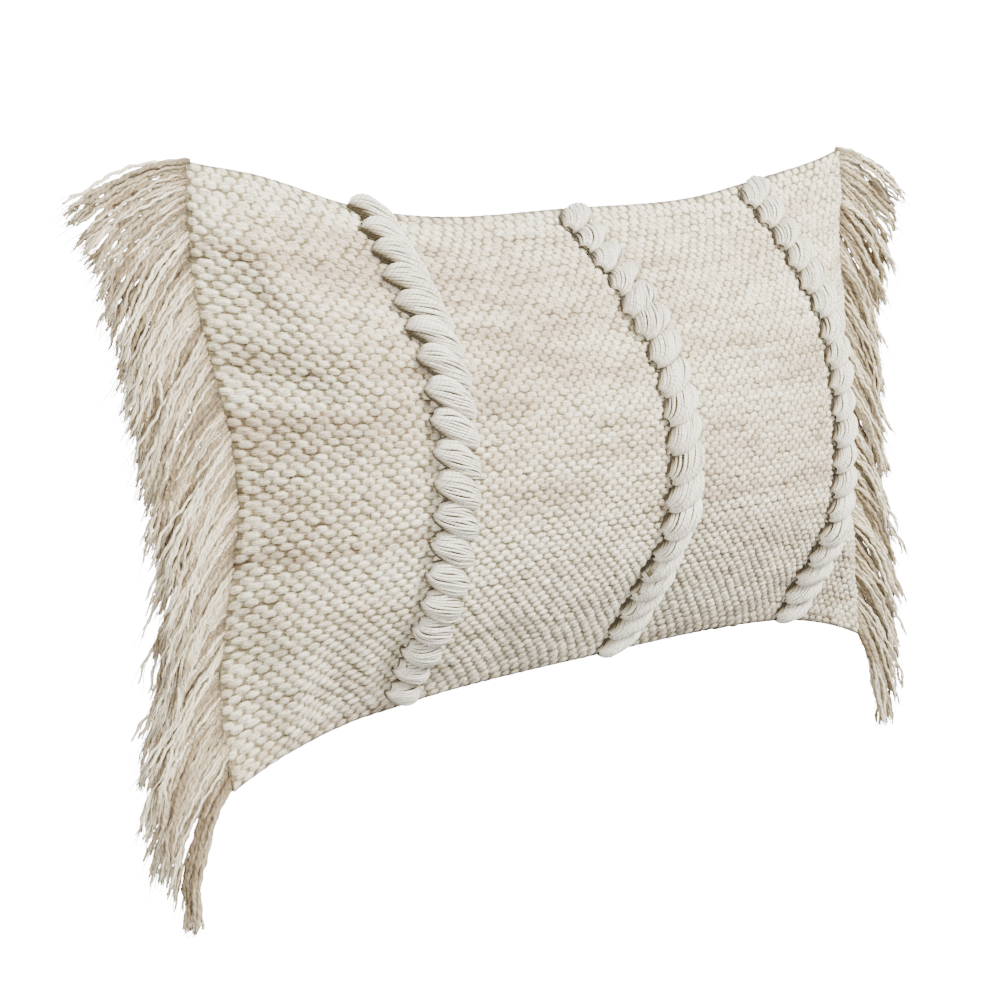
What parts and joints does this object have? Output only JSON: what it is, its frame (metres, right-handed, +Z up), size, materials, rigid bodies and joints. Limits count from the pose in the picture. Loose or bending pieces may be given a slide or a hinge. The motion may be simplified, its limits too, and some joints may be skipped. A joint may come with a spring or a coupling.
{
  "type": "throw pillow",
  "caption": "Rectangular lumbar throw pillow in chunky woven cotton with raised yarn cables up the front, long fringe on both short sides, a stuffed insert and a zipped bottom seam.",
  "frame": {"origin": "centre of the box's footprint, at the level of the lowest fringe tips", "axes": "+Z up with the pillow upright on its long side, +X along its width to the right as seen from the front, front face towards -Y"},
  "size_m": [0.6902, 0.1618, 0.4143],
  "materials": {
    "cover_cloth": "chunky hand-woven cotton, ivory with beige heather streaks",
    "cable_yarn": "bundled fine cotton yarn, soft",
    "fringe_yarn": "twisted two-ply cotton yarn with cut ends",
    "fringe_tape": "woven cotton tape",
    "sewing_thread": "spun polyester thread",
    "insert_casing": "plain white cotton",
    "insert_thread": "white thread",
    "insert_filling": "fluffy polyester fibre",
    "zipper_tape": "woven polyester tape",
    "zipper_teeth": "moulded ivory plastic",
    "zipper_metal": "satin nickel-plated metal"
  },
  "bodies": {
    "cover": {"front_panel": "cover_cloth", "back_panel": "cover_cloth", "left_cable": "cable_yarn", "middle_cable": "cable_yarn", "right_cable": "cable_yarn", "left_fringe": "fringe_yarn", "right_fringe": "fringe_yarn", "left_fringe_tape": "fringe_tape", "right_fringe_tape": "fringe_tape", "top_seam_stitching": "sewing_thread", "bottom_seam_stitching": "sewing_thread", "left_seam_stitching": "sewing_thread", "right_seam_stitching": "sewing_thread", "insert_front_casing": "insert_casing", "insert_back_casing": "insert_casing", "insert_seam_stitching": "insert_thread", "insert_filling": "insert_filling", "zipper_front_tape": "zipper_tape", "zipper_back_tape": "zipper_tape", "zipper_front_teeth": "zipper_teeth", "zipper_back_teeth": "zipper_teeth", "zipper_top_stops": "zipper_metal", "zipper_bottom_stop": "zipper_metal"},
    "zipper_slider": {"zipper_slider": "zipper_metal"},
    "zipper_pull": {"zipper_pull": "zipper_metal"}
  },
  "joints": [
    {"name": "slider_travel", "type": "slide", "parent": "cover", "child": "zipper_slider", "axis": [1, 0, 0], "range_m": [-0.27, 0]},
    {"name": "pull_swing", "type": "hinge", "parent": "zipper_slider", "child": "zipper_pull", "pos_m": [0.1355, 0.00695, 0.10283], "axis": [0, -1, 0], "range_deg": [0, 170]}
  ]
}
